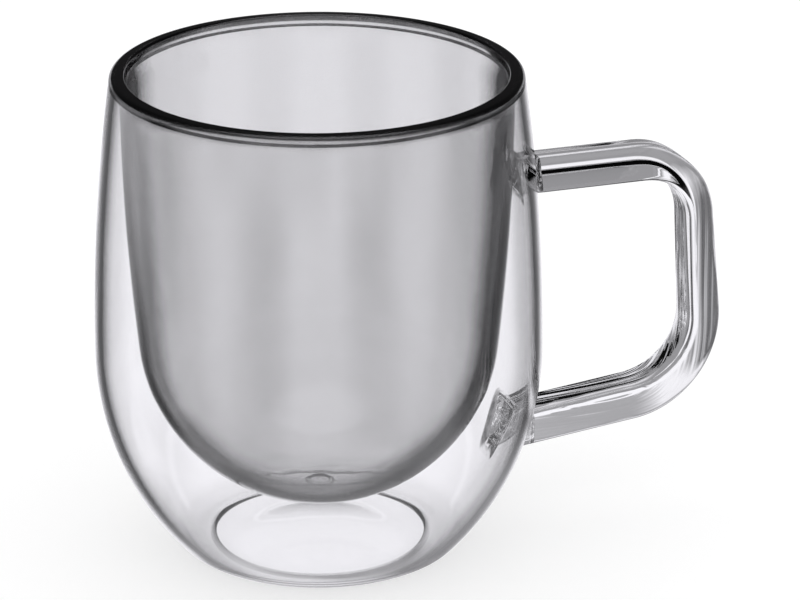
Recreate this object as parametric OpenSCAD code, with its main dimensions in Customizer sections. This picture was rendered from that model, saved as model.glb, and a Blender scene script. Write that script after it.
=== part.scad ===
// Double-walled glass mug: a smoke-grey bowl hangs by its rim inside a clear outer wall,
// and a bent bar of clear glass is fused onto the outside as the handle.
// Millimetres, Z up. The origin is on the mug's axis, in the plane that the foot stands on,
// and the handle points to +X.

/* [Outer wall] */
// Height from the table to the top of the rim
mug_h = 97.7; // [92:0.1:106]
// Diameter at the widest point
belly_d = 88.2; // [84:0.2:94]
// Height of the widest point
belly_z = 41.2; // [37:0.2:46]
// Radius of the long curve from the widest point up to the rim
side_r = 402; // [300:1:600]
// Radius of the tight curve where the wall turns into the foot
corner_r = 6; // [4:0.1:9]
// Radius at which that curve reaches the table
foot_r = 24.2; // [21:0.1:27]
// Thickness of the outer wall
shell_wall = 1.5; // [1.2:0.1:2]

/* [Base] */
// Width of the flat ring that the mug stands on
foot_w = 2.1; // [1.6:0.1:2.6]
// Width of the slope from that ring up to the base disc
foot_slope_w = 1.1; // [0.7:0.1:1.5]
// Height of the disc's underside above the table
disc_lift = 0.4; // [0.3:0.05:0.6]
// How much higher the disc's upper face is in the middle than at its edge
disc_crown = 0.8; // [0.4:0.1:1.4]
// Radius of the shallow hollow under the disc
punt_r = 13.4; // [9:0.1:18]
// Depth of that hollow
punt_depth = 0.2; // [0.1:0.05:0.4]
// Width of the slope round that hollow
punt_slope_w = 1; // [0.6:0.1:1.6]

/* [Inner bowl] */
// Thickness of the bowl's wall
bowl_wall = 1.6; // [1.3:0.1:1.9]
// Height of the bowl's underside above the table
bowl_z = 10.2; // [8:0.1:16]
// How much narrower the radius of the round bottom is than the bowl's neck
bowl_taper = 2.5; // [2.2:0.1:3.5]
// How far the bowl's neck lies inside the circle where the two walls meet
neck_gap = 0.75; // [0.6:0.05:1.2]
// Radius of the sealing button under the bowl
nub_r = 3.1; // [2.4:0.1:4]
// Height of that button
nub_h = 0.6; // [0.3:0.1:1]
// Radius of the dimple in the bowl's floor
dimple_r = 2.2; // [1.6:0.1:3]
// Depth of that dimple
dimple_depth = 0.4; // [0.2:0.1:0.7]

/* [Rim] */
// Width of the lip, from the line of the outer wall to its inner face
lip_w = 3; // [2.8:0.05:3.2]
// Radius of the lip's inner edge
lip_in_r = 0.6; // [0.4:0.05:0.8]
// Radius of the lip's outer edge
lip_out_r = 1.1; // [0.8:0.1:1.2]
// How much lower the lip is at its outer edge than at its inner edge
lip_fall = 0.1; // [0:0.05:0.15]
// Depth below the top of the rim at which the bowl's neck is upright
neck_depth = 5.5; // [5:0.1:8]
// Depth below the top of the rim at which the two walls meet
fuse_depth = 2.3; // [2.1:0.1:3.2]
// Depth below the top of the rim at which the clear wall has thinned out to nothing
scarf_depth = 1.4; // [1.4:0.05:1.8]

/* [Handle] */
// Height of the upper arm's centre line
upper_arm_z = 72.4; // [66:0.1:78]
// Height of the lower arm's centre line where it leaves the wall
lower_arm_z = 18.2; // [16:0.1:24]
// Slope of the lower arm, up and away from the wall, in degrees
lower_arm_slope = 6.5; // [0:0.5:12]
// Distance from the mug's axis to the outermost point of the centre line
handle_reach = 81.3; // [76:0.1:88]
// Lean of the handle's back away from the upright, in degrees
back_lean = 4; // [0:0.5:6]
// Centre line radius of the upper bend
upper_bend_r = 13.2; // [11:0.1:16]
// Centre line radius of the lower bend
lower_bend_r = 17; // [13:0.1:19]
// Width of the bar, across the handle, on the inside of the loop
bar_w = 10.2; // [8.5:0.1:11.6]
// How much narrower the bar is on the outside of the loop, as a share of its width
bar_draft = 0.45; // [0.3:0.05:0.55]
// Radius of the bar's four long edges
bar_edge_r = 1.3; // [0.9:0.1:1.8]
// Thickness of the bar along the upper arm
upper_t = 6.8; // [5.8:0.1:7.8]
// Thickness of the bar in the upper bend, where bending has drawn it thinner
bend_t = 5.8; // [5:0.1:6.8]
// Thickness of the bar at the top of the back
back_top_t = 5.9; // [5.2:0.1:6.8]
// Thickness of the bar at the bottom of the back
back_low_t = 6.8; // [5.8:0.1:7.6]
// Thickness of the bar along the lower arm
lower_t = 7.9; // [6.8:0.1:8.6]

/* [Handle joints] */
// How far the melted collar spreads round the upper arm
upper_flare = 1.7; // [1.2:0.1:2.4]
// How far the melted collar spreads round the lower arm
lower_flare = 2; // [1.4:0.1:2.6]
// Length of the arm's own section at the end of each collar
collar_land = 0.6; // [0.4:0.1:1.5]

/* [Hidden] */
$fn = 128;
// Longest step and widest turn between two points of a curve.
smooth_len = 3;
smooth_angle = 9;
// How far a solid runs past the face that trims it.
overrun = 2;

belly_r = belly_d / 2;
disc_r = foot_r - foot_w - foot_slope_w;
// Radius of the ball that the disc's upper face is part of.
crown_r = (disc_r ^ 2 + disc_crown ^ 2) / (2 * disc_crown);

// The outer wall is three arcs that run into one another: corner, lower curve and side.
// The lower curve's radius is the one that touches both of the others.
foot_in = belly_r - foot_r;
corner_up = belly_z - corner_r;
lower_r = (foot_in ^ 2 + corner_up ^ 2 - corner_r ^ 2) / (2 * (foot_in - corner_r));
corner_c = [foot_r, corner_r];
lower_c = [belly_r - lower_r, belly_z];
side_c = [belly_r - side_r, belly_z];
corner_a = atan2(corner_c.y - lower_c.y, corner_c.x - lower_c.x);

// Heights at the rim.
fuse_z = mug_h - fuse_depth;
scarf_z = mug_h - scarf_depth;
neck_z = mug_h - neck_depth;

// The bowl's round bottom runs into one long side curve, which is upright at the neck.
fuse_x = side_x(shell_wall, fuse_z);
neck_r = fuse_x - neck_gap;
bowl_low_r = neck_r - bowl_taper;
bowl_low_c = [0, bowl_z + bowl_low_r];
bowl_up = neck_z - bowl_low_c.y;
bowl_side_r = (neck_r ^ 2 + bowl_up ^ 2 - bowl_low_r ^ 2) / (2 * bowl_taper);
bowl_side_c = [neck_r - bowl_side_r, neck_z];
bowl_turn_a = atan2(bowl_low_c.y - bowl_side_c.y, bowl_low_c.x - bowl_side_c.x);

// Above the neck the bowl flares out to the meeting circle.
flare_up = fuse_z - neck_z;
flare_r = (neck_gap ^ 2 + flare_up ^ 2) / (2 * neck_gap);

// The lip's two edges are arcs with a flat between them, and the mouth's curve runs into the inner one.
lip_in_c = [side_x(0, mug_h) - lip_w + lip_in_r, mug_h - lip_in_r];
lip_out_z = mug_h - lip_fall - lip_out_r;
lip_out_c = [side_x(lip_out_r, lip_out_z), lip_out_z];
lip_out_a = atan2(lip_out_z - side_c.y, lip_out_c.x - side_c.x);
lip_drop = lip_out_c - lip_in_c;
lip_a = atan2(lip_drop.y, lip_drop.x) + acos((lip_in_r - lip_out_r) / norm(lip_drop));
mouth_in = lip_in_c.x - (neck_r - bowl_wall);
mouth_up = lip_in_c.y - neck_z;
mouth_r = (mouth_in ^ 2 + mouth_up ^ 2 - lip_in_r ^ 2) / (2 * (mouth_in - lip_in_r));
mouth_c = [neck_r - bowl_wall + mouth_r, neck_z];
mouth_a = 180 - asin(mouth_up / (mouth_r - lip_in_r));
fuse_mouth_a = 180 - asin(flare_up / mouth_r);

// The handle's centre line, in the plane of the handle.
lower_bend_c = [handle_reach - lower_bend_r,
                lower_arm_z + lower_bend_r / cos(lower_arm_slope)
                + (handle_reach - lower_bend_r - wall_x(lower_arm_z)) * tan(lower_arm_slope)];
back_low = lower_bend_c + lower_bend_r * [cos(back_lean), sin(back_lean)];
back_high_z = upper_arm_z - upper_bend_r * (1 - sin(back_lean));
back_high = [back_low.x - (back_high_z - back_low.y) * tan(back_lean), back_high_z];
upper_bend_c = back_high - upper_bend_r * [cos(back_lean), sin(back_lean)];
lower_arm_out = lower_bend_c + lower_bend_r * [sin(lower_arm_slope), -cos(lower_arm_slope)];

// Each arm ends in a flat face across its own axis, a collar's length from the wall.
upper_root = [wall_x(upper_arm_z) + upper_flare + collar_land, upper_arm_z];
lower_slant = wall_lean(lower_arm_z) + lower_arm_slope;
lower_root_run = lower_flare + collar_land + lower_t / 2 * tan(lower_slant);
lower_root = [wall_x(lower_arm_z), lower_arm_z]
             + lower_root_run * [cos(lower_arm_slope), sin(lower_arm_slope)];

// Sections along each bend, each arm and each collar, and points round each edge of the bar.
bend_steps = 12;
arm_steps = 3;
flare_steps = 6;
edge_steps = 5;

// Points along an arc, from angle a0 to angle a1, as close together as the curve needs.
function arc(c, r, a0, a1) =
    let (run = abs(a1 - a0),
         n = max(2, ceil(run / smooth_angle), ceil(run * PI / 180 * r / smooth_len)))
    [for (i = [0:n]) c + r * [cos(a0 + (a1 - a0) * i / n), sin(a0 + (a1 - a0) * i / n)]];

// A list of points without its first, for a curve that starts where another ended.
function rest(points) = [for (i = [1:len(points) - 1]) points[i]];

function reversed(points) = [for (i = [len(points) - 1:-1:0]) points[i]];

// Radius of the side curve at height z, on the surface that lies inset inside the wall's outside.
function side_x(inset, z) = side_c.x + sqrt((side_r - inset) ^ 2 - (z - side_c.y) ^ 2);

// Radius of the outer wall's outside at any height over the corner.
function wall_x(z) =
    z > belly_z ? side_x(0, z) : lower_c.x + sqrt(lower_r ^ 2 - (z - lower_c.y) ^ 2);

// How far the wall leans from the upright at height z, in degrees.
function wall_lean(z) = asin((belly_z - z) / (z > belly_z ? side_r : lower_r));

// The wall's curve from the foot up to height z_top, on the surface that lies inset inside it.
function wall_line(inset, z_top) = concat(
    arc(corner_c, corner_r - inset, -90, corner_a),
    rest(arc(lower_c, lower_r - inset, corner_a, 0)),
    rest(arc(side_c, side_r - inset, 0, asin((z_top - side_c.y) / (side_r - inset)))));

// The bowl's curve from radius r_start near its bottom up to the neck, inset likewise.
function bowl_line(inset, r_start) = concat(
    arc(bowl_low_c, bowl_low_r - inset, -acos(r_start / (bowl_low_r - inset)), bowl_turn_a),
    rest(arc(bowl_side_c, bowl_side_r - inset, bowl_turn_a, 0)));

// Clear outer wall: one even wall from the standing ring, which has a slope inside it, up to a
// tapered edge at the rim.
module outer_shell() {
    color("#e6e8ec", 0.4)
    rotate_extrude()
    polygon(concat(
        [[disc_r, disc_lift], [disc_r + foot_slope_w, 0]],
        wall_line(0, scarf_z),
        reversed(wall_line(shell_wall, fuse_z)),
        [[disc_r, shell_wall]]));
}

// Clear disc that closes the base, level with the wall at its edge, crowned above and hollow below.
module base_disc() {
    color("#dfe2e6", 0.5)
    rotate_extrude()
    polygon(concat(
        [[0, disc_lift + punt_depth],
         [punt_r - punt_slope_w, disc_lift + punt_depth],
         [punt_r, disc_lift],
         [disc_r, disc_lift]],
        arc([0, shell_wall + disc_crown - crown_r], crown_r, acos(disc_r / crown_r), 90)));
}

// Smoke-grey bowl: a wall of even thickness, a flared neck and a sealed button at its bottom.
module inner_bowl() {
    nub_z = bowl_low_c.y - sqrt(bowl_low_r ^ 2 - nub_r ^ 2);
    floor_r = bowl_low_r - bowl_wall;
    floor_z = bowl_low_c.y - sqrt(floor_r ^ 2 - dimple_r ^ 2);
    color("#6f7076", 0.6)
    rotate_extrude()
    polygon(concat(
        [[0, nub_z - nub_h], [nub_r - nub_h, nub_z - nub_h]],
        rest(arc([nub_r - nub_h, nub_z], nub_h, -90, 0)),
        rest(bowl_line(0, nub_r)),
        rest(arc([neck_r + flare_r, neck_z], flare_r, 180, 180 - asin(flare_up / flare_r))),
        arc(mouth_c, mouth_r, fuse_mouth_a, 180),
        rest(reversed(bowl_line(bowl_wall, dimple_r))),
        [[dimple_r - dimple_depth, floor_z - dimple_depth], [0, floor_z - dimple_depth]]));
}

// Rim bead: the glass of both walls, melted into one nearly flat lip over the bowl's neck.
module rim_bead() {
    color("#2b2c30", 0.85)
    rotate_extrude()
    polygon(concat(
        [[fuse_x, fuse_z]],
        arc(side_c, side_r, asin((scarf_z - side_c.y) / side_r), lip_out_a),
        rest(arc(lip_out_c, lip_out_r, lip_out_a, lip_a)),
        arc(lip_in_c, lip_in_r, lip_a, mouth_a),
        rest(arc(mouth_c, mouth_r, mouth_a, fuse_mouth_a))));
}

// The bar's section as a closed ring of points, t along the first axis and w along the second: a rounded
// rectangle, drawn in towards its outside, which is where the first axis has the sign of outside.
function bar_section(t, w, r, outside) = [
    for (corner = [[1, 1, 0], [-1, 1, 90], [-1, -1, 180], [1, -1, 270]])
        for (i = [0:edge_steps])
            let (x = corner.x * (t / 2 - r) + r * cos(corner.z + 90 * i / edge_steps),
                 y = corner.y * (w / 2 - r) + r * sin(corner.z + 90 * i / edge_steps))
            [x, y * (1 - bar_draft * (outside * x / t + 1 / 2))]];

// A section placed across the handle's centre line at point p, where the bar heads at angle a.
function placed(section, p, a) =
    [for (s = section) [p.x - s.x * sin(a), s.y, p.y + s.x * cos(a)]];

// Solid skin over a row of closed rings that all have the same number of points.
module skin(rings) {
    m = len(rings[0]);
    n = len(rings);
    points = [for (ring = rings) each ring];
    sides = [
        for (k = [0:n - 2])
            for (i = [0:m - 1])
                let (a = k * m + i, b = k * m + (i + 1) % m)
                each [[a, b, b + m], [a, b + m, a + m]]];
    ends = [[for (i = [m - 1:-1:0]) i], [for (i = [0:m - 1]) (n - 1) * m + i]];
    polyhedron(points, concat(sides, ends));
}

// Stations along the centre line, each [point, heading, thickness].
function stations() =
    let (upper_turn = 90 - back_lean,
         lower_turn = 90 + back_lean - lower_arm_slope,
         upper_end = [upper_bend_c.x, upper_arm_z])
    concat(
        [for (i = [0:arm_steps - 1])
            let (s = i / arm_steps)
            [upper_root + (upper_end - upper_root) * s, 0, upper_t]],
        [for (i = [0:bend_steps])
            let (s = i / bend_steps, a = -upper_turn * s)
            [upper_bend_c + upper_bend_r * [-sin(a), cos(a)], a,
             eased(upper_t, bend_t, back_top_t, s)]],
        [for (i = [0:bend_steps])
            let (s = i / bend_steps, a = -upper_turn - lower_turn * s)
            [lower_bend_c + lower_bend_r * [-sin(a), cos(a)], a,
             back_low_t + (lower_t - back_low_t) * smooth(s)]],
        [for (i = [1:arm_steps])
            let (s = i / arm_steps)
            [lower_arm_out + (lower_root - lower_arm_out) * s, lower_arm_slope - 180, lower_t]]);

// A step that starts and ends gently, for s from 0 to 1.
function smooth(s) = s * s * (3 - 2 * s);

// Thickness through the upper bend: first, middle and last value, joined gently.
function eased(first, middle, last, s) =
    s < 1 / 2 ? first + (middle - first) * smooth(2 * s) : middle + (last - middle) * smooth(2 * s - 1);

// Bent bar: one section swept along both arms, both bends and the back.
module handle() {
    color("#d4d6da", 0.6)
    skin([for (s = stations()) placed(bar_section(s[2], bar_w, bar_edge_r, 1), s[0], s[1])]);
}

// Melted collar between an arm and the wall. Its rings follow the wall's own curve, spread as
// they near it, and the outer wall's form is cut out of them, so the two meet face to face.
module collar(root, run, heading, t, flare, slant, outside) {
    function fall(s) = s.x * tan(slant) - s.y ^ 2 / (2 * root.x);
    function spread(k) = flare * (1 - sin(90 * k / flare_steps));
    function ring(k) =
        let (grown = spread(max(k, 0)),
             section = bar_section(t + 2 * grown, bar_w + 2 * grown, bar_edge_r + grown, outside),
             ahead = k < 0 ? -overrun : flare * (1 - cos(90 * k / flare_steps)))
        [for (s = section)
            let (u = k == flare_steps + 1 ? run : ahead + fall(s))
            [root.x + u * cos(heading) - s.x * sin(heading), s.y,
             root.y + u * sin(heading) + s.x * cos(heading)]];
    difference() {
        skin([for (k = [-1:flare_steps + 1]) ring(k)]);
        rotate_extrude()
        polygon(concat([[0, 0]], wall_line(0, scarf_z), [[0, scarf_z]]));
    }
}

module upper_handle_joint() {
    color("#c9ccd2", 0.7)
    collar([wall_x(upper_arm_z), upper_arm_z], upper_root.x - wall_x(upper_arm_z), 0,
           upper_t, upper_flare, wall_lean(upper_arm_z), 1);
}

module lower_handle_joint() {
    color("#c9ccd2", 0.7)
    collar([wall_x(lower_arm_z), lower_arm_z], lower_root_run, lower_arm_slope,
           lower_t, lower_flare, lower_slant, -1);
}

outer_shell();
base_disc();
inner_bowl();
rim_bead();
handle();
upper_handle_joint();
lower_handle_joint();
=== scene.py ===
from math import acos, asin, atan2, ceil, cos, degrees, hypot, pi, radians, sin, sqrt, tan

import bpy
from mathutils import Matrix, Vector


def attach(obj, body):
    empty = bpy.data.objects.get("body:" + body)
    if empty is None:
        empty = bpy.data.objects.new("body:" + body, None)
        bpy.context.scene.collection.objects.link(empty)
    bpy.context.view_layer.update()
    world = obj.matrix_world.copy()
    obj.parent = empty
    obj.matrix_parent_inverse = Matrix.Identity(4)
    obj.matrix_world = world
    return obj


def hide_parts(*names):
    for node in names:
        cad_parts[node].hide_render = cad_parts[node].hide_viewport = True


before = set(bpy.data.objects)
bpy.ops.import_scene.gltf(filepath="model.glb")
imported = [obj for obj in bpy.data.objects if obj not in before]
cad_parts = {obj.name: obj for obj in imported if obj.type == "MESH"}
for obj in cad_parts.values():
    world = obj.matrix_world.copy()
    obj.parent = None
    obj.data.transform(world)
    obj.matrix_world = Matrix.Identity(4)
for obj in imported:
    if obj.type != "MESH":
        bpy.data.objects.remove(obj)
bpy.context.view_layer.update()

mm = 0.001

# ---- Outer wall ----
# Clear borosilicate glass, blown in a turning mould, so it is round and even, about 1.5 mm thick.
# It stands on a flat ring round its foot, with a slope inside it, and thins out at the top, where the
# rim bead takes over.

wall_t = 1.5 * mm
belly_r, belly_z = 44.1 * mm, 41.2 * mm
side_r = 402 * mm
corner_r, foot_r = 6 * mm, 24.2 * mm
foot_in, foot_slope_w, disc_lift = 21 * mm, 1.1 * mm, 0.4 * mm
fuse_z, scarf_z = 95.4 * mm, 96.3 * mm
melt = 0.04 * mm    # how far fused pieces run into each other, so that no air film shows between them

lower_r = ((belly_r - foot_r) ** 2 + (belly_z - corner_r) ** 2 - corner_r ** 2) \
    / (2 * (belly_r - foot_r - corner_r))
lower_c = (belly_r - lower_r, belly_z)
side_c = (belly_r - side_r, belly_z)
corner_c = (foot_r, corner_r)
corner_a = degrees(atan2(corner_c[1] - lower_c[1], corner_c[0] - lower_c[0]))


def side_x(inset, z):
    """Radius of the outer wall's long side curve at height z, on the surface inset inside it."""
    return side_c[0] + sqrt((side_r - inset) ** 2 - (z - side_c[1]) ** 2)


def new_mesh(name):
    """Gives the object just modelled its name, smooth curves, crisp edges and normals that point outwards."""
    bpy.ops.mesh.select_all(action="SELECT")
    bpy.ops.mesh.remove_doubles(threshold=0.002 * mm)
    bpy.ops.mesh.normals_make_consistent(inside=False)
    bpy.ops.object.mode_set(mode="OBJECT")
    bpy.ops.object.transform_apply(location=True, rotation=True, scale=True)
    bpy.ops.object.shade_smooth_by_angle(angle=radians(32))
    piece = bpy.context.object
    piece.name = piece.data.name = name
    return piece


def turned(name, start, strokes, steps=192, arc_turn=5, arc_step=1.2 * mm):
    """Draws half an outline and spins it about the mug's axis.
    A stroke is (x, z) for a straight line to there, or (centre, degrees) for an arc. An arc is drawn in
    steps that turn by arc_turn degrees and are arc_step long at most."""
    bpy.ops.object.select_all(action="DESELECT")
    bpy.ops.mesh.primitive_plane_add(size=mm, location=(start[0], 0, start[1]))
    bpy.ops.object.mode_set(mode="EDIT")
    bpy.ops.mesh.merge(type="CENTER")
    x, z = start
    for a, b in strokes:
        if isinstance(a, tuple):
            r = hypot(x - a[0], z - a[1])
            count = ceil(max(abs(b) / arc_turn, radians(abs(b)) * r / arc_step))
            bpy.ops.mesh.spin(steps=count, angle=radians(b), center=(a[0], 0, a[1]), axis=(0, 1, 0))
            turn = atan2(z - a[1], x - a[0]) + radians(b)
            x, z = a[0] + r * cos(turn), a[1] + r * sin(turn)
        else:
            bpy.ops.mesh.extrude_region_move(TRANSFORM_OT_translate={"value": (a - x, 0, b - z)})
            x, z = a, b
    bpy.ops.mesh.select_all(action="SELECT")
    bpy.ops.mesh.spin(steps=steps, angle=2 * pi, center=(0, 0, 0), axis=(0, 0, 1))
    return new_mesh(name)


def side_turn(inset, z):
    """Angle of the side curve at height z, in degrees above the level of the widest point."""
    return degrees(asin((z - belly_z) / (side_r - inset)))


fuse_x = side_x(wall_t, fuse_z)

outer_wall = turned("outer_wall", (foot_in, disc_lift), [
    (foot_in + foot_slope_w, 0),
    (foot_r, 0),
    (corner_c, corner_a + 90),
    (lower_c, -corner_a),
    (side_c, side_turn(0, scarf_z)),
    (fuse_x, fuse_z),
    (side_c, -side_turn(wall_t, fuse_z)),
    (lower_c, corner_a),
    (corner_c, -90 - corner_a),
    (foot_in, wall_t),
    (foot_in, disc_lift),
])
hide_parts("outer_shell")
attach(outer_wall, "root")


def linear(colour):
    """An sRGB hex colour as the linear red, green, blue and alpha that nodes take."""
    parts = [int(colour[i:i + 2], 16) / 255 for i in (1, 3, 5)]
    return [c / 12.92 if c < 0.04045 else ((c + 0.055) / 1.055) ** 2.4 for c in parts] + [1]


def add(tree, kind, settings=None, **links):
    """Adds a node with its settings. A link or value goes to the socket of that name or number."""
    node = tree.nodes.new(kind)
    for key, value in (settings or {}).items():
        setattr(node, key, value)
    for key, value in links.items():
        socket = node.inputs[int(key[1:]) if key[0] == "_" else key.replace("_", " ")]
        if isinstance(value, bpy.types.NodeSocket):
            tree.links.new(value, socket)
        else:
            socket.default_value = value
    return node


def glass(name, dark_edge, wave, wave_depth, density=0):
    """Shiny glass whose shadow is light, because it lets lamps through. Where it is seen at a slant, its
    colour is painted darker, as painted shade that draws its edges dark. dark_edge holds the slant where that
    painted shade starts, the slant where it is full, and the share of light left there. wave and wave_depth
    are the width and height of its uneven spots, and density is how much light it soaks up in a metre."""
    material = bpy.data.materials.new(name)
    material.use_nodes = True
    tree = material.node_tree
    tree.nodes.clear()
    starts, ends, least = dark_edge
    # Painted shade: the colour darkens where the surface is seen at a slant.
    turn = add(tree, "ShaderNodeLayerWeight", Blend=0.5)
    painted_shade = add(tree, "ShaderNodeMapRange", {"name": "Skin"}, Value=turn.outputs["Facing"], _1=starts, _2=ends,
               _3=1.0, _4=least)
    place = add(tree, "ShaderNodeTexCoord")
    spots = add(tree, "ShaderNodeTexNoise", {"name": "Spots"}, Vector=place.outputs["Object"], Scale=1 / wave,
                Detail=1.0)
    uneven = add(tree, "ShaderNodeBump", {"name": "Uneven"}, Height=spots.outputs["Fac"], Distance=wave_depth)
    body = add(tree, "ShaderNodeBsdfPrincipled", Base_Color=painted_shade.outputs["Result"], Roughness=0.0, IOR=1.47,
               Transmission_Weight=1.0, Normal=uneven.outputs["Normal"])
    clear = add(tree, "ShaderNodeBsdfTransparent", Color=linear("#eeeef0"))
    path = add(tree, "ShaderNodeLightPath")
    mixed = add(tree, "ShaderNodeMixShader", _0=path.outputs["Is Shadow Ray"],
                _1=body.outputs["BSDF"], _2=clear.outputs["BSDF"])
    out = add(tree, "ShaderNodeOutputMaterial", Surface=mixed.outputs["Shader"])
    if density:
        soak = add(tree, "ShaderNodeVolumeAbsorption", Color=linear("#060606"), Density=density)
        tree.links.new(soak.outputs["Volume"], out.inputs["Volume"])
    return material


# Blown in a mould that leaves it very even: broad, shallow waves that only bend a reflection a little.
clear_glass = glass("clear_borosilicate", dark_edge=(0.5, 0.75, 0.7), wave=25 * mm, wave_depth=0.08 * mm)

# The narrow slope inside the standing ring is painted as a grey ring: painted shade. The foot round it is
# painted a little greyer than the wall, darker towards the bottom: painted shade too. Both fade out where
# they end.
ring_shade_left, ring_half_w, ring_top = 0.6, 0.5 * mm, 0.8 * mm
foot_shade_left, foot_low, foot_top = 0.86, 1.6 * mm, 4 * mm
tree = clear_glass.node_tree
place = tree.nodes["Texture Coordinate"].outputs["Object"]
parts = add(tree, "ShaderNodeSeparateXYZ", Vector=place)
flat = add(tree, "ShaderNodeVectorMath", {"operation": "MULTIPLY"}, _0=place, _1=(1, 1, 0))
from_axis = add(tree, "ShaderNodeVectorMath", {"operation": "LENGTH"}, _0=flat.outputs["Vector"])
off = add(tree, "ShaderNodeMath", {"operation": "SUBTRACT"}, _0=from_axis.outputs["Value"],
          _1=foot_in + foot_slope_w / 2)
off = add(tree, "ShaderNodeMath", {"operation": "ABSOLUTE"}, _0=off.outputs["Value"])
ring = add(tree, "ShaderNodeMapRange", Value=off.outputs["Value"], _1=ring_half_w,
           _2=ring_half_w + 0.3 * mm, _3=ring_shade_left, _4=1.0)
above = add(tree, "ShaderNodeMapRange", Value=parts.outputs["Z"], _1=ring_top, _2=ring_top + 0.4 * mm)
ring = add(tree, "ShaderNodeMath", {"operation": "MAXIMUM"}, _0=ring.outputs["Result"],
           _1=above.outputs["Result"])
foot = add(tree, "ShaderNodeMapRange", Value=parts.outputs["Z"], _1=foot_low, _2=foot_top,
           _3=foot_shade_left, _4=1.0)
# Painted shade: the slant shade, the grey ring and the greyer foot, multiplied into the colour.
painted_shade = add(tree, "ShaderNodeMath", {"operation": "MULTIPLY"}, _0=tree.nodes["Skin"].outputs["Result"],
           _1=ring.outputs["Value"])
painted_shade = add(tree, "ShaderNodeMath", {"operation": "MULTIPLY"}, _0=painted_shade.outputs["Value"],
           _1=foot.outputs["Result"])
tree.links.new(painted_shade.outputs["Value"], tree.nodes["Principled BSDF"].inputs["Base Color"])
outer_wall.data.materials.append(clear_glass)

# ---- Base disc ----
# Clear disc melted into the foot, which closes the space between the walls. Its upper face is level
# with the wall at its edge and a little crowned, and its underside has a shallow hollow.

disc_crown = 0.8 * mm
punt_r, punt_depth, punt_slope_w = 13.4 * mm, 0.2 * mm, 1 * mm
disc_r = foot_in + melt
crown_r = (disc_r ** 2 + disc_crown ** 2) / (2 * disc_crown)

base = turned("base", (0, disc_lift + punt_depth), [
    (punt_r - punt_slope_w, disc_lift + punt_depth),
    (punt_r, disc_lift),
    (disc_r, disc_lift),
    (disc_r, wall_t),
    ((0, wall_t + disc_crown - crown_r), degrees(asin(disc_r / crown_r))),
])
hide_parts("base_disc")
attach(base, "root")

# Melted in by hand with a flame: its waves are shorter than the wall's. Only its rim looks grey: there it is
# seen at a slant, and its colour is painted darker, as painted shade.
disc_glass = glass("clear_flame_sealed_borosilicate", dark_edge=(0.7, 0.9, 0.8), wave=14 * mm,
                   wave_depth=0.06 * mm)
base.data.materials.append(disc_glass)

# ---- Inner bowl ----
# Smoke-grey glass about 1.6 mm thick, blown as a round-bottomed tumbler and sealed at its lowest
# point, where a small button is left. Its neck flares out to meet the outer wall.

bowl_t, bowl_z = 1.6 * mm, 10.2 * mm
neck_z, neck_gap = 92.2 * mm, 0.75 * mm
taper = 2.5 * mm
nub_r, nub_h = 3.1 * mm, 0.6 * mm
dimple_r, dimple_depth = 2.2 * mm, 0.4 * mm
lip_top, lip_w = 97.7 * mm, 3 * mm
lip_in_r, lip_out_r, lip_fall = 0.6 * mm, 1.1 * mm, 0.1 * mm

neck_r = fuse_x - neck_gap
low_r = neck_r - taper
low_c = (0, bowl_z + low_r)
bowl_up = neck_z - low_c[1]
bowl_side_r = (neck_r ** 2 + bowl_up ** 2 - low_r ** 2) / (2 * taper)
bowl_side_c = (neck_r - bowl_side_r, neck_z)
bowl_turn_a = degrees(atan2(low_c[1] - bowl_side_c[1], low_c[0] - bowl_side_c[0]))
flare_up = fuse_z - neck_z
flare_r = (neck_gap ** 2 + flare_up ** 2) / (2 * neck_gap)

lip_in_x, lip_in_z = side_x(0, lip_top) - lip_w + lip_in_r, lip_top - lip_in_r
mouth_in, mouth_up = lip_in_x - (neck_r - bowl_t), lip_in_z - neck_z
mouth_r = (mouth_in ** 2 + mouth_up ** 2 - lip_in_r ** 2) / (2 * (mouth_in - lip_in_r))
mouth_c = (neck_r - bowl_t + mouth_r, neck_z)
mouth_a = 180 - degrees(asin(mouth_up / (mouth_r - lip_in_r)))
fuse_mouth_a = 180 - degrees(asin(flare_up / mouth_r))

nub_z = low_c[1] - sqrt(low_r ** 2 - nub_r ** 2)
floor_r = low_r - bowl_t
floor_z = low_c[1] - sqrt(floor_r ** 2 - dimple_r ** 2)

bowl = turned("bowl", (0, nub_z - nub_h), [
    (nub_r - nub_h, nub_z - nub_h),
    ((nub_r - nub_h, nub_z), 90),
    (low_c, bowl_turn_a + degrees(acos(nub_r / low_r))),
    (bowl_side_c, -bowl_turn_a),
    ((neck_r + flare_r, neck_z), -degrees(asin(flare_up / flare_r))),
    (mouth_c[0] + mouth_r * cos(radians(fuse_mouth_a)), fuse_z),
    (mouth_c, 180 - fuse_mouth_a),
    (bowl_side_c, bowl_turn_a),
    (low_c, -bowl_turn_a - degrees(acos(dimple_r / floor_r))),
    (dimple_r - dimple_depth, floor_z - dimple_depth),
    (0, floor_z - dimple_depth),
])
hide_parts("inner_bowl")
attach(bowl, "root")

# Tinted in the melt, so that light through both of its sides comes out grey. Its edges are painted nearly
# black where it is seen at a slant, as painted shade. The flame that sealed it at the bottom left it wavy
# there.
wave_depth, seal_depth, seal_top = 0.05 * mm, 0.2 * mm, 18 * mm
smoke_glass = glass("smoke_grey_borosilicate", dark_edge=(0.49, 0.7, 0.03), wave=9 * mm,
                    wave_depth=wave_depth, density=150)
tree = smoke_glass.node_tree
place = tree.nodes["Texture Coordinate"].outputs["Object"]
parts = add(tree, "ShaderNodeSeparateXYZ", Vector=place)
wavy = add(tree, "ShaderNodeMapRange", Value=parts.outputs["Z"], _1=seal_top - 5 * mm, _2=seal_top,
           _3=seal_depth, _4=wave_depth)
tree.links.new(wavy.outputs["Result"], tree.nodes["Uneven"].inputs["Distance"])
bowl.data.materials.append(smoke_glass)

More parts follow.
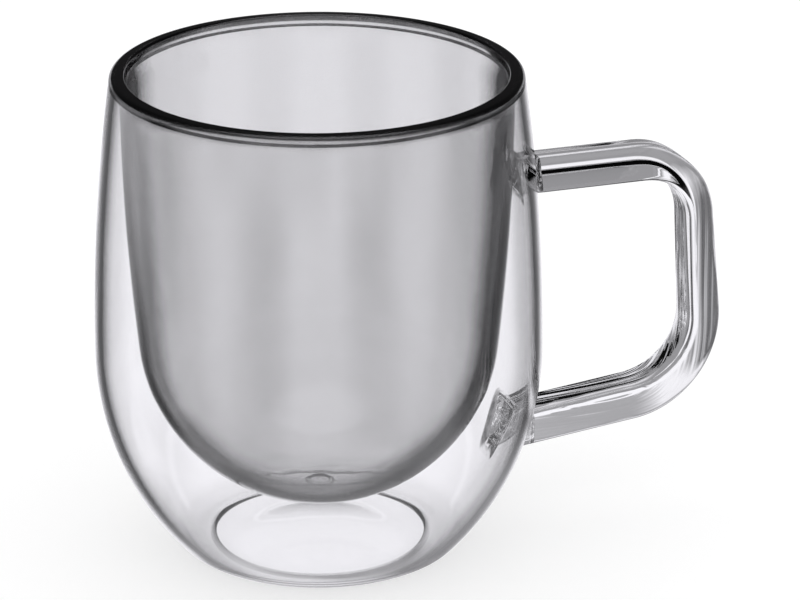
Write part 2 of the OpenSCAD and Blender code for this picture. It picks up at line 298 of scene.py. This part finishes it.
# ---- Rim bead ----
# The two walls melted together and pressed to a nearly flat lip. Light that enters it from above is led
# down inside the smoke-grey glass and soaked up, so the lip looks nearly black. Its top is also painted
# nearly black, as painted shade.

lip_out_z = lip_top - lip_fall - lip_out_r
lip_out_x = side_c[0] + sqrt((side_r - lip_out_r) ** 2 - (lip_out_z - side_c[1]) ** 2)
lip_out_a = degrees(atan2(lip_out_z - side_c[1], lip_out_x - side_c[0]))
drop = Vector((lip_out_x - lip_in_x, lip_out_z - lip_in_z))
lip_a = degrees(atan2(drop.y, drop.x) + acos((lip_in_r - lip_out_r) / drop.length))

sink = fuse_z - melt
rim = turned("rim", (fuse_x + melt, sink), [
    (side_x(0, scarf_z), scarf_z),
    (side_c, lip_out_a - side_turn(0, scarf_z)),
    ((lip_out_x, lip_out_z), lip_a - lip_out_a),
    (lip_in_x + lip_in_r * cos(radians(lip_a)), lip_in_z + lip_in_r * sin(radians(lip_a))),
    ((lip_in_x, lip_in_z), mouth_a - lip_a),
    (mouth_c, fuse_mouth_a - mouth_a),
    (fuse_x + melt, sink),
])
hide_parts("rim_bead")
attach(rim, "root")

# The same smoke-grey melt, fire-polished. Its top is painted nearly black, as painted shade, and the lower
# edge of that painted shade lies half a millimetre higher outside than inside.
top_shade_z, top_shade_fade, top_shade_slope, top_shade_left = 96.65 * mm, 0.2 * mm, 0.25 * mm, 0.06
top_shade_in_r, top_shade_out_r = 37.2 * mm, 39.5 * mm
rim_glass = glass("smoke_grey_fire_polished", dark_edge=(0.9, 1.0, 1.0), wave=12 * mm,
                  wave_depth=0.05 * mm, density=160)
tree = rim_glass.node_tree
place = tree.nodes["Texture Coordinate"].outputs["Object"]
parts = add(tree, "ShaderNodeSeparateXYZ", Vector=place)
flat = add(tree, "ShaderNodeVectorMath", {"operation": "MULTIPLY"}, _0=place, _1=(1, 1, 0))
from_axis = add(tree, "ShaderNodeVectorMath", {"operation": "LENGTH"}, _0=flat.outputs["Vector"])
edge = add(tree, "ShaderNodeMapRange", Value=from_axis.outputs["Value"], _1=top_shade_in_r, _2=top_shade_out_r,
           _3=-top_shade_slope, _4=top_shade_slope)
height = add(tree, "ShaderNodeMath", {"operation": "SUBTRACT"}, _0=parts.outputs["Z"],
             _1=edge.outputs["Result"])
# Painted shade: the colour turns nearly black above that edge.
painted_shade = add(tree, "ShaderNodeMapRange", Value=height.outputs["Value"], _1=top_shade_z, _2=top_shade_z + top_shade_fade,
           _3=1.0, _4=top_shade_left)
tree.links.new(painted_shade.outputs["Result"], tree.nodes["Principled BSDF"].inputs["Base Color"])
rim.data.materials.append(rim_glass)

# ---- Handle ----
# One clear glass bar, bent hot into a squarish loop. Its section is narrower on the outside of the loop
# than on the inside. The bend at the top has drawn it thinner, and the lower arm is the thickest.

bar_w, bar_draft, bar_edge_r = 10.2 * mm, 0.45, 1.3 * mm
upper_t, bend_t, lower_t = 6.8 * mm, 5.8 * mm, 7.9 * mm
back_top_t, back_low_t = 5.9 * mm, 6.8 * mm
upper_arm_z, lower_arm_z = 72.4 * mm, 18.2 * mm
lower_slope, back_lean = 6.5, 4
reach = 81.25 * mm
upper_bend_r, lower_bend_r = 13.2 * mm, 17 * mm
upper_flare, lower_flare, collar_land = 1.7 * mm, 2 * mm, 0.6 * mm


def wall_x(z):
    """Radius of the outer wall's outside at height z."""
    return side_x(0, z) if z > belly_z else lower_c[0] + sqrt(lower_r ** 2 - (z - lower_c[1]) ** 2)


def wall_lean(z):
    """How far the wall leans from the upright at height z, in degrees."""
    return degrees(asin((belly_z - z) / (side_r if z > belly_z else lower_r)))


def heading(degs):
    """Unit vector in the plane of the handle."""
    return Vector((cos(radians(degs)), 0, sin(radians(degs))))


lower_c_z = lower_arm_z + lower_bend_r / cos(radians(lower_slope)) \
    + (reach - lower_bend_r - wall_x(lower_arm_z)) * tan(radians(lower_slope))
lower_bend_c = Vector((reach - lower_bend_r, 0, lower_c_z))
back_low = lower_bend_c + lower_bend_r * heading(back_lean)
back_high_z = upper_arm_z - upper_bend_r * (1 - sin(radians(back_lean)))
back_high = Vector((back_low.x - (back_high_z - back_low.z) * tan(radians(back_lean)), 0, back_high_z))
upper_bend_c = back_high - upper_bend_r * heading(back_lean)
lower_arm_out = lower_bend_c + lower_bend_r * heading(lower_slope - 90)
upper_root = Vector((wall_x(upper_arm_z) + upper_flare + collar_land, 0, upper_arm_z))
lower_slant = wall_lean(lower_arm_z) + lower_slope
lower_run = lower_flare + collar_land + lower_t / 2 * tan(radians(lower_slant))
lower_root = Vector((wall_x(lower_arm_z), 0, lower_arm_z)) + lower_run * heading(lower_slope)


def bar_start(at, turn, thick, wide, edge, outside=1):
    """A face with the bar's section, across the handle's line at a point where it heads at turn degrees.
    Its narrower side lies to the left of that heading, or to the right if outside is -1."""
    bpy.ops.object.select_all(action="DESELECT")
    bpy.ops.mesh.primitive_plane_add(size=1, location=at, rotation=(0, radians(90), 0))
    bpy.ops.object.mode_set(mode="EDIT")
    bpy.ops.transform.resize(value=(1, wide, thick), center_override=at)
    bpy.ops.mesh.bevel(offset=edge, segments=8, affect="VERTICES", clamp_overlap=False)
    bpy.ops.object.mode_set(mode="OBJECT")
    section = bpy.context.object
    for v in section.data.vertices:
        v.co.y *= 1 - bar_draft * (outside * (section.matrix_world @ v.co - at).z / thick + 0.5)
    bpy.ops.object.mode_set(mode="EDIT")
    bpy.ops.transform.rotate(value=radians(turn), orient_axis="Y", center_override=at)


def bar_on(was, at, turn_was, turn, grow_t, grow_w=1):
    """Extrudes the bar to the next point, turned to its new heading, its section grown by the two factors."""
    bpy.ops.mesh.extrude_region_move(TRANSFORM_OT_translate={"value": at - was})
    bpy.ops.transform.rotate(value=-radians(turn_was), orient_axis="Y", center_override=at)
    bpy.ops.transform.resize(value=(1, grow_w, grow_t), center_override=at)
    bpy.ops.transform.rotate(value=radians(turn), orient_axis="Y", center_override=at)


def gently(s):
    """A step from 0 to 1 that starts and ends gently."""
    return s * s * (3 - 2 * s)


# The bar's line as (point, heading, thickness): upper arm, upper bend, back, lower bend, lower arm.
upper_turn, lower_turn = 90 - back_lean, 90 + back_lean - lower_slope
bend_steps, arm_steps = 36, 12
line = []
end = Vector((upper_bend_c.x, 0, upper_arm_z))
begin = upper_root - Vector((melt, 0, 0))
for i in range(arm_steps):
    line.append((begin.lerp(end, i / arm_steps), 0, upper_t))
for i in range(bend_steps + 1):
    s = i / bend_steps
    t = upper_t + (bend_t - upper_t) * gently(2 * s) if s < 0.5 \
        else bend_t + (back_top_t - bend_t) * gently(2 * s - 1)
    line.append((upper_bend_c + upper_bend_r * heading(90 - upper_turn * s), -upper_turn * s, t))
for i in range(1, arm_steps):
    s = i / arm_steps
    line.append((back_high.lerp(back_low, s), -upper_turn, back_top_t + (back_low_t - back_top_t) * s))
for i in range(bend_steps + 1):
    s = i / bend_steps
    line.append((lower_bend_c + lower_bend_r * heading(back_lean - lower_turn * s),
                 -upper_turn - lower_turn * s, back_low_t + (lower_t - back_low_t) * gently(s)))
stop = lower_root - melt * heading(lower_slope)
for i in range(1, arm_steps + 1):
    line.append((lower_arm_out.lerp(stop, i / arm_steps), lower_slope - 180, lower_t))

bar_start(line[0][0], 0, upper_t, bar_w, bar_edge_r)
for (was, turn_was, t_was), (at, turn, t) in zip(line, line[1:]):
    bar_on(was, at, turn_was, turn, t / t_was)
handle = new_mesh("bent_bar")
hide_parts("handle")
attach(handle, "root")

# Pressed glass, drawn out while it was bent. That left fine cords on its sides, which break the light into
# streaks along the bar and fade out towards the upper arm. They follow the bends because they are spaced by
# the distance from the middle of the finger gap, measured so that equal distances form a rounded square.
# That pattern has its own spacing, and its heights are in millimetres, so glass() is given 1 and 1 mm.
gap_x, gap_z, gap_w, gap_h, squareness = 40 * mm, 45.5 * mm, 38 * mm, 27 * mm, 6.0
cord_gap, cord_w, cord_length = 1 * mm, 6 * mm, 45 * mm
faint_z, deep_z, faint_height, deep_height = 70 * mm, 56 * mm, 0.02, 0.25
face_half_w, side_y, face_share = 2 * mm, 3.8 * mm, 0.1
side_lean = 0.45
bar_glass = glass("clear_pressed_glass", dark_edge=(0.8, 0.95, 0.4), wave=1, wave_depth=1 * mm)
tree = bar_glass.node_tree
place = tree.nodes["Texture Coordinate"].outputs["Object"]
parts = add(tree, "ShaderNodeSeparateXYZ", Vector=place)
across = add(tree, "ShaderNodeMapRange", {"clamp": False}, Value=parts.outputs["X"], _1=gap_x,
             _2=gap_x + gap_w)
upright = add(tree, "ShaderNodeMapRange", {"clamp": False}, Value=parts.outputs["Z"], _1=gap_z,
              _2=gap_z + gap_h)
across = add(tree, "ShaderNodeMath", {"operation": "POWER"}, _0=across.outputs["Result"], _1=squareness)
upright = add(tree, "ShaderNodeMath", {"operation": "POWER"}, _0=upright.outputs["Result"], _1=squareness)
away = add(tree, "ShaderNodeMath", {"operation": "ADD"}, _0=across.outputs["Value"],
           _1=upright.outputs["Value"])
away = add(tree, "ShaderNodeMath", {"operation": "POWER"}, _0=away.outputs["Value"], _1=1 / squareness)
away = add(tree, "ShaderNodeMath", {"operation": "MULTIPLY"}, _0=away.outputs["Value"], _1=gap_h / cord_gap)
side = add(tree, "ShaderNodeMath", {"operation": "DIVIDE"}, _0=parts.outputs["Y"], _1=cord_w)
along = add(tree, "ShaderNodeMath", {"operation": "ADD"}, _0=parts.outputs["X"], _1=parts.outputs["Z"])
along = add(tree, "ShaderNodeMath", {"operation": "DIVIDE"}, _0=along.outputs["Value"], _1=cord_length)
cords = add(tree, "ShaderNodeCombineXYZ", X=away.outputs["Value"], Y=side.outputs["Value"],
            Z=along.outputs["Value"])
tree.links.new(cords.outputs["Vector"], tree.nodes["Spots"].inputs["Vector"])
deep = add(tree, "ShaderNodeMapRange", Value=parts.outputs["Z"], _1=faint_z, _2=deep_z, _3=faint_height,
           _4=deep_height)
from_middle = add(tree, "ShaderNodeMath", {"operation": "ABSOLUTE"}, _0=parts.outputs["Y"])
on_side = add(tree, "ShaderNodeMapRange", Value=from_middle.outputs["Value"], _1=face_half_w, _2=side_y,
              _3=face_share, _4=1.0)
deep = add(tree, "ShaderNodeMath", {"operation": "MULTIPLY"}, _0=deep.outputs["Result"],
           _1=on_side.outputs["Result"])
cords = add(tree, "ShaderNodeMath", {"operation": "SUBTRACT"}, _0=tree.nodes["Spots"].outputs["Fac"],
            _1=0.5)
cords = add(tree, "ShaderNodeMath", {"operation": "MULTIPLY"}, _0=cords.outputs["Value"],
            _1=deep.outputs["Value"])

# Its sides also catch the light as if they leaned more, by this slope, towards the narrow outer face.
lean = add(tree, "ShaderNodeMath", {"operation": "MULTIPLY"}, _0=away.outputs["Value"], _1=-side_lean)
cords = add(tree, "ShaderNodeMath", {"operation": "ADD"}, _0=cords.outputs["Value"],
            _1=lean.outputs["Value"])
tree.links.new(cords.outputs["Value"], tree.nodes["Uneven"].inputs["Height"])
handle.data.materials.append(bar_glass)

# ---- Handle joints ----
# Where each arm was pressed onto the hot wall, its glass has spread into a collar that runs
# smoothly into the wall. It is full of small folds.

# Hot glass that was pushed together and not smoothed: folds 3 mm apart, which break the light into loops.
melted_glass = glass("clear_melted_glass", dark_edge=(0.75, 0.95, 0.5), wave=3 * mm,
                     wave_depth=0.35 * mm)


def collar(name, root, run, turn, thick, flare, slant, outside):
    """Spreads the bar's section in a quarter round towards the wall and lays its end along the wall."""
    steps = 10
    bite = 0.06 * mm    # how deep its end sits in the wall
    way = heading(turn)
    bar_start(root + run * way, turn, thick, bar_w, bar_edge_r, outside)
    was, t, w = root + run * way, thick, bar_w
    for k in range(steps, -1, -1):
        grown = flare * (1 - sin(radians(90 * k / steps)))
        at = root + flare * (1 - cos(radians(90 * k / steps))) * way
        bar_on(was, at, turn, turn, (thick + 2 * grown) / t, (bar_w + 2 * grown) / w)
        was, t, w = at, thick + 2 * grown, bar_w + 2 * grown
    bpy.ops.object.mode_set(mode="OBJECT")
    across = heading(turn + 90)
    for v in bpy.context.object.data.vertices:
        place = bpy.context.object.matrix_world @ v.co
        near = 1 - min(1, (place - root).dot(way) / run) ** 2
        up = (place - root).dot(across)
        fall = up * tan(radians(slant)) - place.y ** 2 / (2 * root.x) - bite
        v.co += bpy.context.object.matrix_world.inverted().to_3x3() @ (near * fall * way)
    bpy.ops.object.mode_set(mode="EDIT")
    return new_mesh(name)


for name, node, root, run, turn, thick, flare, slant, outside in (
    ("upper_collar", "upper_handle_joint", Vector((wall_x(upper_arm_z), 0, upper_arm_z)),
     upper_flare + collar_land, 0, upper_t, upper_flare, wall_lean(upper_arm_z), 1),
    ("lower_collar", "lower_handle_joint", Vector((wall_x(lower_arm_z), 0, lower_arm_z)),
     lower_run, lower_slope, lower_t, lower_flare, lower_slant, -1),
):
    piece = collar(name, root, run, turn, thick, flare, slant, outside)
    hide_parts(node)
    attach(piece, "root")
    piece.data.materials.append(melted_glass)

# ---- Studio ----
# A pale floor under soft white light from all round, seen by a camera with a long lens. Glass shows a
# ring of six soft boxes instead, whose dark gaps draw its edges. The floor lets their light pass to it.

bpy.ops.object.select_all(action="DESELECT")
bpy.ops.mesh.primitive_plane_add(size=6, location=(0, 0, -0.02 * mm))    # just clear of the foot
floor = bpy.context.object
floor.name = "floor"
paper = bpy.data.materials.new("white_paper")
paper.use_nodes = True
tree = paper.node_tree
tree.nodes.clear()
path = add(tree, "ShaderNodeLightPath")

# White paper lit from below and above, so that the mug's shadow stays light.
lit = add(tree, "ShaderNodeBsdfDiffuse", Color=linear("#b9b9b9"))
glow = add(tree, "ShaderNodeEmission", Color=linear("#ffffff"), Strength=0.58)
both = add(tree, "ShaderNodeAddShader", _0=lit.outputs["BSDF"], _1=glow.outputs["Emission"])
seen = add(tree, "ShaderNodeMath", {"operation": "MAXIMUM"}, _0=path.outputs["Is Glossy Ray"],
           _1=path.outputs["Is Transmission Ray"])
through = add(tree, "ShaderNodeBsdfTransparent")
pick = add(tree, "ShaderNodeMixShader", _0=seen.outputs["Value"], _1=both.outputs["Shader"],
           _2=through.outputs["BSDF"])
add(tree, "ShaderNodeOutputMaterial", Surface=pick.outputs["Shader"])
floor.data.materials.append(paper)

world = bpy.data.worlds.new("studio")
bpy.context.scene.world = world
world.use_nodes = True
tree = world.node_tree
tree.nodes.clear()

# The six boxes, one of them straight ahead of the camera. They look narrower in a reflection. A dark flag
# stands before the next one to the right. Angles are in degrees round the mug, and a height is the upward
# part of a ray's direction. In a Map Range, _1 and _2 are where a change starts and ends, and _3 and _4 are
# the value there, which is 0 and 1 if not given. The value of full light is 1.
camera_a, flag_a = 71, 11
gap_light, mirrored_gap_light, flag_light = 0.15, 0.12, 0.25
way = add(tree, "ShaderNodeTexCoord")
parts = add(tree, "ShaderNodeSeparateXYZ", Vector=way.outputs["Generated"])
bearing = add(tree, "ShaderNodeMath", {"operation": "ARCTAN2"}, _0=parts.outputs["Y"],
              _1=parts.outputs["X"])
from_box = add(tree, "ShaderNodeMath", {"operation": "SUBTRACT"}, _0=bearing.outputs["Value"],
               _1=radians(camera_a))
six = add(tree, "ShaderNodeMath", {"operation": "MULTIPLY"}, _0=from_box.outputs["Value"], _1=6.0)
six_wave = add(tree, "ShaderNodeMath", {"operation": "COSINE"}, _0=six.outputs["Value"])
path = add(tree, "ShaderNodeLightPath")
boxes = add(tree, "ShaderNodeMapRange", _0=six_wave.outputs["Value"], _1=-1.0, _2=-0.2, _3=gap_light,
            _4=1.0)
mirrored = add(tree, "ShaderNodeMapRange", _0=six_wave.outputs["Value"], _1=-0.85, _2=0.35,
               _3=mirrored_gap_light, _4=1.0)
boxes = add(tree, "ShaderNodeMix", {"data_type": "FLOAT"}, _0=path.outputs["Is Glossy Ray"],
            _2=boxes.outputs["Result"], _3=mirrored.outputs["Result"])
from_flag = add(tree, "ShaderNodeMath", {"operation": "SUBTRACT"}, _0=bearing.outputs["Value"],
                _1=radians(flag_a))
flag_wave = add(tree, "ShaderNodeMath", {"operation": "COSINE"}, _0=from_flag.outputs["Value"])
flag = add(tree, "ShaderNodeMapRange", _0=flag_wave.outputs["Value"], _1=0.85, _2=0.98, _3=1.0,
           _4=flag_light)
boxes = add(tree, "ShaderNodeMath", {"operation": "MULTIPLY"}, _0=boxes.outputs["Result"],
            _1=flag.outputs["Result"])

# Below the boxes: dark ahead of the camera, pale behind it. The boxes' lower edge hangs lower on the left.
table_behind, table_ahead = 0.9, 0.33
side = add(tree, "ShaderNodeVectorMath", {"operation": "DOT_PRODUCT"}, _0=way.outputs["Generated"],
           _1=(-sin(radians(camera_a)), cos(radians(camera_a)), 0))
hang = add(tree, "ShaderNodeMapRange", _0=side.outputs["Value"], _1=-0.07, _2=0.03, _3=-0.07, _4=0.07)
edge = add(tree, "ShaderNodeMath", {"operation": "ADD"}, _0=parts.outputs["Z"], _1=hang.outputs["Result"])
low = add(tree, "ShaderNodeMapRange", _0=edge.outputs["Value"], _1=-0.62, _2=-0.52)
front = add(tree, "ShaderNodeVectorMath", {"operation": "DOT_PRODUCT"}, _0=way.outputs["Generated"],
            _1=(cos(radians(camera_a)), sin(radians(camera_a)), 0))
table = add(tree, "ShaderNodeMapRange", _0=front.outputs["Value"], _1=-0.3, _2=0.1, _3=table_behind,
            _4=table_ahead)
boxes = add(tree, "ShaderNodeMix", {"data_type": "FLOAT"}, _0=low.outputs["Result"],
            _2=table.outputs["Result"], _3=boxes.outputs["Value"])

# A band with eight windows lies on the horizon. The room above it is nearly black in a reflection, and dim
# with one bright strip all round where it is seen through glass. A white light hangs over the mug.
window_gap_light, room_light, mirrored_room_light, strip_z = 0.35, 0.33, 0.05, 0.22
eight = add(tree, "ShaderNodeMath", {"operation": "MULTIPLY"}, _0=bearing.outputs["Value"], _1=8.0)
eight_wave = add(tree, "ShaderNodeMath", {"operation": "COSINE"}, _0=eight.outputs["Value"])
far = add(tree, "ShaderNodeMapRange", _0=eight_wave.outputs["Value"], _1=-0.8, _2=0.3,
          _3=window_gap_light, _4=1.0)
level = add(tree, "ShaderNodeMapRange", _0=parts.outputs["Z"], _1=-0.17, _2=-0.1)
boxes = add(tree, "ShaderNodeMix", {"data_type": "FLOAT"}, _0=level.outputs["Result"],
            _2=boxes.outputs["Result"], _3=far.outputs["Result"])
off_strip = add(tree, "ShaderNodeMath", {"operation": "SUBTRACT"}, _0=parts.outputs["Z"], _1=strip_z)
off_strip = add(tree, "ShaderNodeMath", {"operation": "ABSOLUTE"}, _0=off_strip.outputs["Value"])
strip = add(tree, "ShaderNodeMapRange", _0=off_strip.outputs["Value"], _1=0.02, _2=0.04, _3=1.0,
            _4=room_light)
above = add(tree, "ShaderNodeMix", {"data_type": "FLOAT"}, _0=path.outputs["Is Transmission Ray"],
            _2=mirrored_room_light, _3=strip.outputs["Result"])
high = add(tree, "ShaderNodeMapRange", _0=parts.outputs["Z"], _1=0.06, _2=0.16)
room = add(tree, "ShaderNodeMix", {"data_type": "FLOAT"}, _0=high.outputs["Result"],
           _2=boxes.outputs["Result"], _3=above.outputs["Result"])
top = add(tree, "ShaderNodeMapRange", _0=parts.outputs["Z"], _1=0.86, _2=0.92)
all_round = add(tree, "ShaderNodeMix", {"data_type": "FLOAT"}, _0=top.outputs["Result"],
                _2=room.outputs["Result"], _3=1.0)

# Straight below, a reflection shows the white table, which light that goes through glass doesn't meet.
table_below = 0.95
under = add(tree, "ShaderNodeMapRange", _0=parts.outputs["Z"], _1=-0.92, _2=-0.75, _3=table_below,
            _4=0.0)
mirror = add(tree, "ShaderNodeMath", {"operation": "MULTIPLY"}, _0=under.outputs["Result"],
             _1=path.outputs["Is Glossy Ray"])
all_round = add(tree, "ShaderNodeMath", {"operation": "MAXIMUM"}, _0=all_round.outputs["Result"],
                _1=mirror.outputs["Value"])

# Only glass shows the boxes. The camera sees plain white, which also lights the floor.
seen = add(tree, "ShaderNodeMath", {"operation": "MAXIMUM"}, _0=path.outputs["Is Glossy Ray"],
           _1=path.outputs["Is Transmission Ray"])
plain = add(tree, "ShaderNodeBackground", Color=linear("#ffffff"), Strength=1.0)
soft = add(tree, "ShaderNodeBackground", Color=linear("#fbfaff"), Strength=all_round.outputs["Value"])
pick = add(tree, "ShaderNodeMixShader", _0=seen.outputs["Value"], _1=plain.outputs["Background"],
           _2=soft.outputs["Background"])
add(tree, "ShaderNodeOutputWorld", Surface=pick.outputs["Shader"])

# The camera stands 0.89 m from the middle of the picture and looks down at it.
camera_down, camera_far, camera_lens = 20.695, 0.89, 203.5
aim = Vector((15.239, -4.884, 50.323)) * mm
ahead = Vector((cos(radians(camera_a)) * cos(radians(camera_down)),
                sin(radians(camera_a)) * cos(radians(camera_down)), -sin(radians(camera_down))))
bpy.ops.object.camera_add(location=aim - camera_far * ahead,
                          rotation=(radians(90 - camera_down), 0, radians(camera_a - 90)))
camera = bpy.context.object
camera.data.lens = camera_lens
bpy.context.scene.camera = camera
bpy.context.scene.view_settings.view_transform = "Standard"
